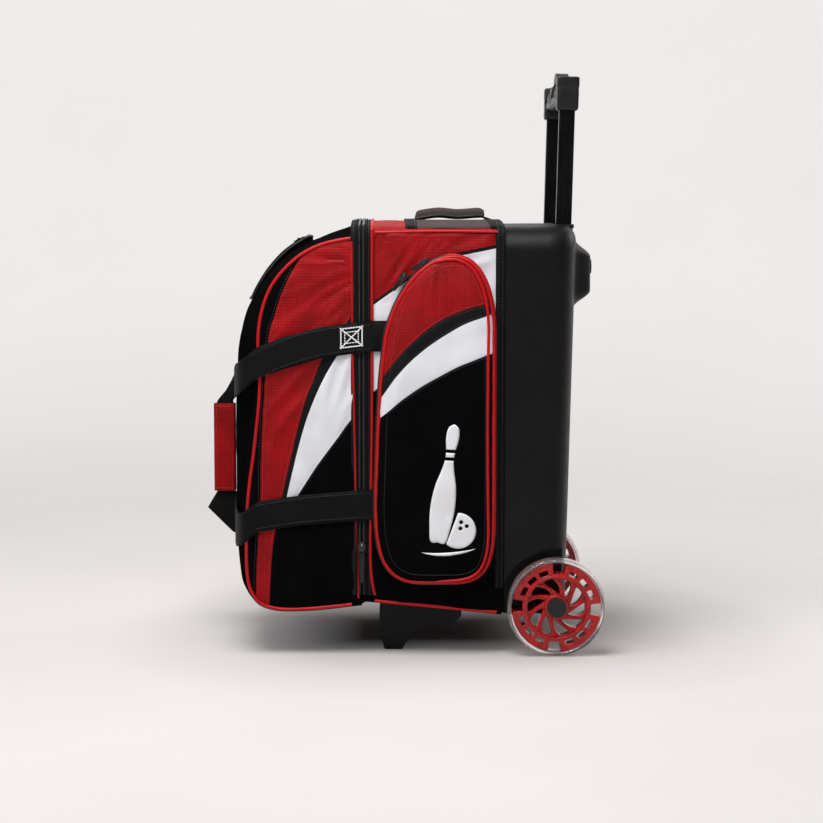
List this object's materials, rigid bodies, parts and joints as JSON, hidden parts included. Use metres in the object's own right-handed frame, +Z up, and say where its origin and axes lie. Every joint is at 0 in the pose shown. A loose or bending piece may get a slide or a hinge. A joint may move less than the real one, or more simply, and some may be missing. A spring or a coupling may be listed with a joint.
{
  "type": "wheeled bowling bag",
  "caption": "Wheeled bowling ball bag with a moulded rear trunk, zipped front lid, side shoe pockets, carry straps and a telescoping pull handle.",
  "frame": {"origin": "on the floor, under the middle of the bag's bounding box at rest", "axes": "+X points to the rear, where the wheels and pull handle are; +Y runs along the wheel axle; +Z is up"},
  "size_m": [0.5254, 0.358, 0.7566],
  "materials": {
    "moulded_plastic": "satin black, fine moulded texture",
    "black_fabric": "black woven polyester",
    "red_fabric": "red dobby polyester",
    "webbing": "black woven webbing",
    "red_plastic": "glossy red",
    "clear_tyre": "clear polyurethane",
    "black_tube": "black anodised",
    "steel": "plain steel",
    "foam": "closed-cell foam",
    "board": "stiff black board"
  },
  "bodies": {
    "bag": {"rear_trunk": "moulded_plastic", "front_stand": "moulded_plastic", "bumper_pad_near": "moulded_plastic", "bumper_pad_far": "moulded_plastic", "handle_collar_near": "moulded_plastic", "handle_collar_far": "moulded_plastic", "main_bottom": "black_fabric", "zip_tape_main": "black_fabric", "pocket_gusset_near": "black_fabric", "pocket_gusset_far": "black_fabric", "main_top": "red_fabric", "main_side_near": "red_fabric", "main_side_far": "red_fabric", "trunk_binding": "webbing", "top_handle": "webbing", "upper_strap_anchor_near": "webbing", "upper_strap_anchor_far": "webbing", "lower_strap_anchor_near": "webbing", "lower_strap_anchor_far": "webbing", "handle_tube_near": "black_tube", "handle_tube_far": "black_tube", "axle": "steel", "lid_zip_slider_near": "steel", "lid_zip_slider_far": "steel", "pocket_zip_slider_near": "steel", "pocket_zip_slider_far": "steel", "lower_ball_cup": "foam", "upper_ball_cup": "foam", "floor_board": "board", "ball_shelf": "board", "bay_partition_near": "board", "bay_partition_far": "board"},
    "handle": {"handle_post_near": "black_tube", "handle_post_far": "black_tube", "lock_plug_near": "moulded_plastic", "lock_plug_far": "moulded_plastic", "handle_grip": "moulded_plastic"},
    "release": {"release_button": "moulded_plastic", "release_yoke": "steel"},
    "wheel_near": {"wheel_tyre_near": "clear_tyre", "wheel_hub_near": "red_plastic", "wheel_bearing_near": "steel", "wheel_cap_near": "moulded_plastic"},
    "wheel_far": {"wheel_tyre_far": "clear_tyre", "wheel_hub_far": "red_plastic", "wheel_bearing_far": "steel", "wheel_cap_far": "moulded_plastic"},
    "lid": {"lid_front": "black_fabric", "lid_side_near": "red_fabric", "lid_side_far": "red_fabric", "zip_tape_lid": "black_fabric"},
    "strap_near": {"carry_strap_near": "webbing", "strap_wrap_near": "red_fabric"},
    "strap_far": {"carry_strap_far": "webbing", "strap_wrap_far": "red_fabric"},
    "pocket_near": {"pocket_flap_near": "black_fabric"},
    "pocket_far": {"pocket_flap_far": "black_fabric"}
  },
  "joints": [
    {"name": "handle_slide", "type": "slide", "parent": "bag", "child": "handle", "axis": [0.0244, 0, 0.9997], "range_m": [-0.14, 0.25]},
    {"name": "button_press", "type": "slide", "parent": "handle", "child": "release", "axis": [-0.0244, 0, -0.9997], "range_m": [0, 0.004], "stiffness_N_per_m": 1500, "springref_m": -0.004},
    {"name": "wheel_near_spin", "type": "hinge", "parent": "bag", "child": "wheel_near", "pos_m": [0.19925, -0.165, 0.0635], "axis": [0, 1, 0], "continuous": true},
    {"name": "wheel_far_spin", "type": "hinge", "parent": "bag", "child": "wheel_far", "pos_m": [0.19925, 0.165, 0.0635], "axis": [0, 1, 0], "continuous": true},
    {"name": "lid_hinge", "type": "hinge", "parent": "bag", "child": "lid", "pos_m": [-0.05075, 0, 0.06], "axis": [0, -1, 0], "range_deg": [0, 24]},
    {"name": "strap_near_swing", "type": "hinge", "parent": "bag", "child": "strap_near", "pos_m": [-0.04075, -0.1633, 0.3], "axis": [0, 0, 1], "range_deg": [0, 90.5]},
    {"name": "strap_far_swing", "type": "hinge", "parent": "bag", "child": "strap_far", "pos_m": [-0.04075, 0.1633, 0.3], "axis": [0, 0, -1], "range_deg": [0, 90.5]},
    {"name": "pocket_near_open", "type": "hinge", "parent": "bag", "child": "pocket_near", "pos_m": [0.11725, -0.1683, 0.3], "axis": [0, 0, 1], "range_deg": [0, 40]},
    {"name": "pocket_far_open", "type": "hinge", "parent": "bag", "child": "pocket_far", "pos_m": [0.11725, 0.1683, 0.3], "axis": [0, 0, -1], "range_deg": [0, 40]}
  ],
  "couplings": [
    {"joint": "strap_near_swing", "follows": "lid_hinge", "ratio": 3.75},
    {"joint": "strap_far_swing", "follows": "lid_hinge", "ratio": 3.75}
  ]
}
